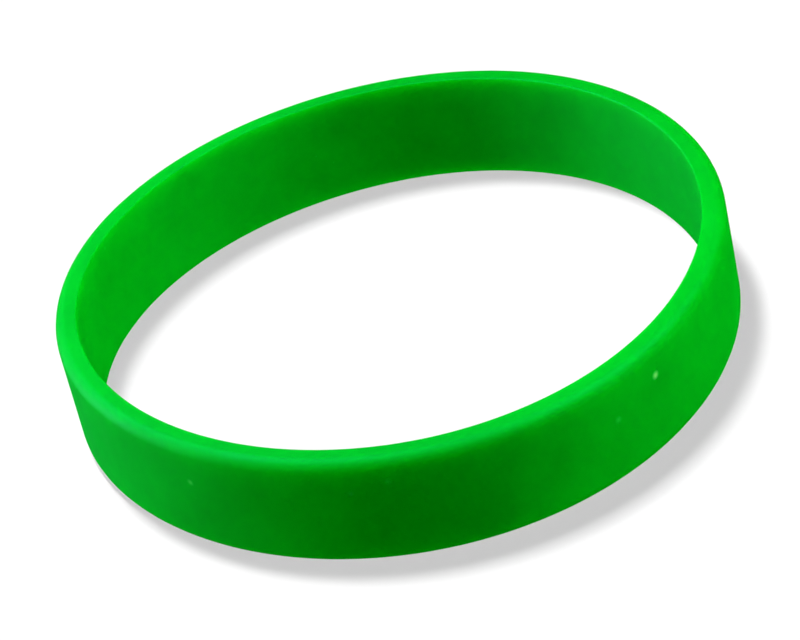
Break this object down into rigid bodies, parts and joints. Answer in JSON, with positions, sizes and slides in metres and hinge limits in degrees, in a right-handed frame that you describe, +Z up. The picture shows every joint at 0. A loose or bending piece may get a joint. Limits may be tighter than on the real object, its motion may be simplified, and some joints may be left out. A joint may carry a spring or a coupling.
{
  "type": "silicone wristband",
  "caption": "One-piece stretchy silicone rubber wristband: a plain flat strip moulded as a closed ring with softly rounded rims, slid over the hand and worn round the wrist.",
  "frame": {"origin": "middle of the footprint, on the surface that the lower rim rests on", "axes": "+Z up through the wrist opening, from rim to rim; +Y along the longer diameter of the slightly oval ring"},
  "size_m": [0.0688, 0.0694, 0.012],
  "materials": {
    "silicone": "satin moulded silicone rubber, coloured through, with a fine matte grain"
  },
  "bodies": {
    "root": {"band": "silicone"}
  },
  "joints": []
}
